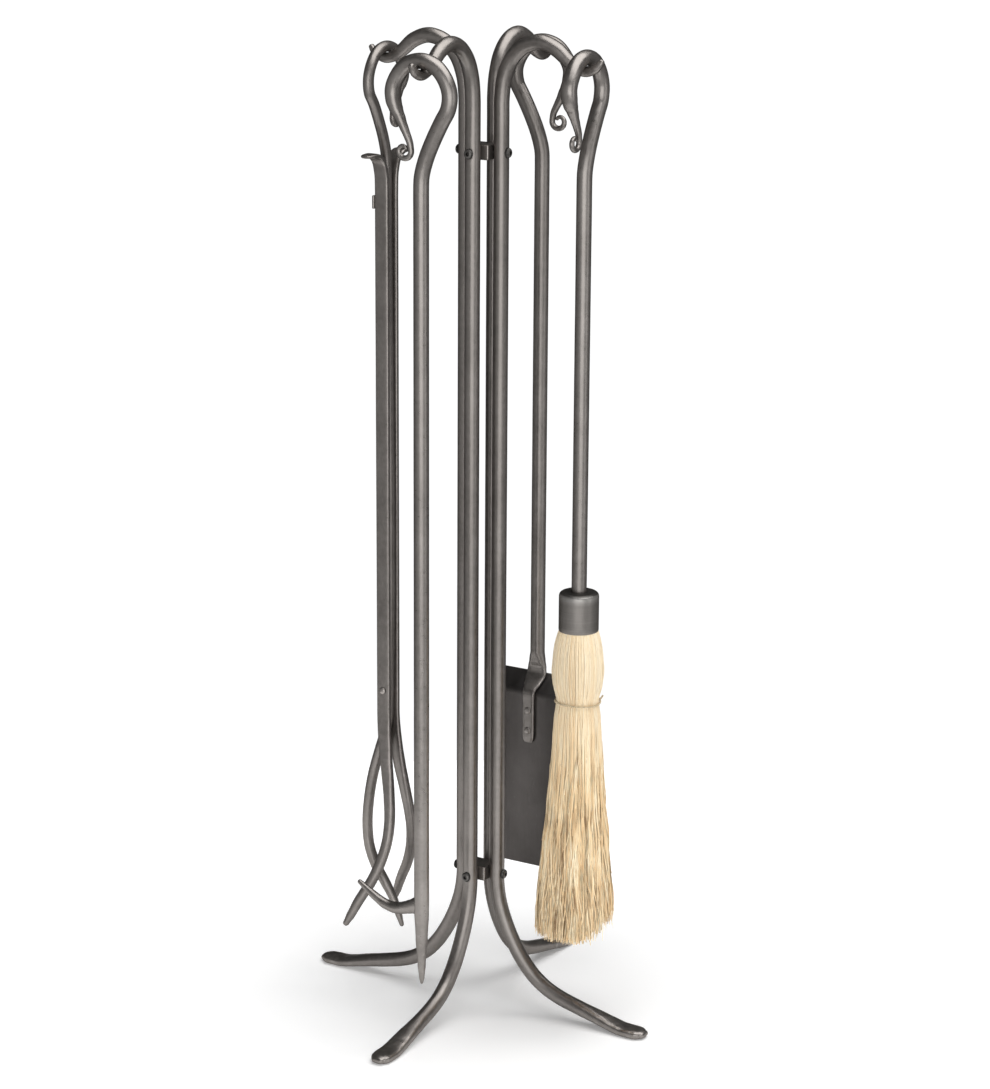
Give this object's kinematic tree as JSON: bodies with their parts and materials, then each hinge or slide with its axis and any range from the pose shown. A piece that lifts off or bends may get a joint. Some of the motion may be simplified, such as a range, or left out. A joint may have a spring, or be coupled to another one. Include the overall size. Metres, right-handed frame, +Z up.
{
  "type": "fireplace tool set",
  "caption": "Forged stand of bent bars with hooked tops and flattened feet, carrying a poker, a shovel, tongs and a straw broom by their loop handles.",
  "frame": {"origin": "middle of the stand, on the floor", "axes": "+Z up along the uprights; the picture looks towards +Y; the poker hangs at -X -Y, the broom at +X -Y, the shovel at +X +Y and the tongs at -X +Y"},
  "size_m": [0.2332, 0.2332, 0.8166],
  "materials": {
    "forged_iron": "satin, hammered and waxed",
    "forged_iron_bright": "satin, hammered and waxed",
    "sheet_steel": "dull satin",
    "bolt_steel": "black oxide",
    "broom_straw": "natural straw",
    "tie_wire": "dull wire"
  },
  "bodies": {
    "stand": {"upright_front_right": "forged_iron", "upright_back_right": "forged_iron", "upright_back_left": "forged_iron", "upright_front_left": "forged_iron", "upper_spacer": "forged_iron", "lower_spacer": "forged_iron", "bolt_upper_front_right": "bolt_steel", "bolt_upper_back_right": "bolt_steel", "bolt_upper_back_left": "bolt_steel", "bolt_upper_front_left": "bolt_steel", "bolt_lower_front_right": "bolt_steel", "bolt_lower_back_right": "bolt_steel", "bolt_lower_back_left": "bolt_steel", "bolt_lower_front_left": "bolt_steel"},
    "poker": {"poker_rod": "forged_iron_bright", "poker_barb": "forged_iron_bright"},
    "shovel": {"shovel_rod": "forged_iron", "shovel_pan": "sheet_steel", "shovel_rivet_1": "forged_iron", "shovel_rivet_2": "forged_iron"},
    "broom": {"broom_rod": "forged_iron_bright", "broom_ferrule": "forged_iron_bright", "broom_bristles": "broom_straw", "broom_tie": "tie_wire"},
    "tongs": {"tongs_rod": "forged_iron"},
    "tongs_arms": {"tongs_arm_front": "forged_iron", "tongs_arm_back": "forged_iron", "tongs_pivot_pin": "forged_iron", "tongs_strap": "forged_iron"}
  },
  "joints": [
    {"name": "poker_lift", "type": "slide", "parent": "stand", "child": "poker", "axis": [-0.3536, -0.3536, 0.866], "range_m": [0, 0.12]},
    {"name": "shovel_lift", "type": "slide", "parent": "stand", "child": "shovel", "axis": [0.3536, 0.3536, 0.866], "range_m": [0, 0.12]},
    {"name": "broom_lift", "type": "slide", "parent": "stand", "child": "broom", "axis": [0.3536, -0.3536, 0.866], "range_m": [0, 0.12]},
    {"name": "tongs_lift", "type": "slide", "parent": "stand", "child": "tongs", "axis": [-0.3536, 0.3536, 0.866], "range_m": [0, 0.12]},
    {"name": "tongs_open", "type": "hinge", "parent": "tongs", "child": "tongs_arms", "pos_m": [-0.06505, 0.06505, 0.261], "axis": [-0.7071, -0.7071, 0], "range_deg": [0, 20]}
  ]
}
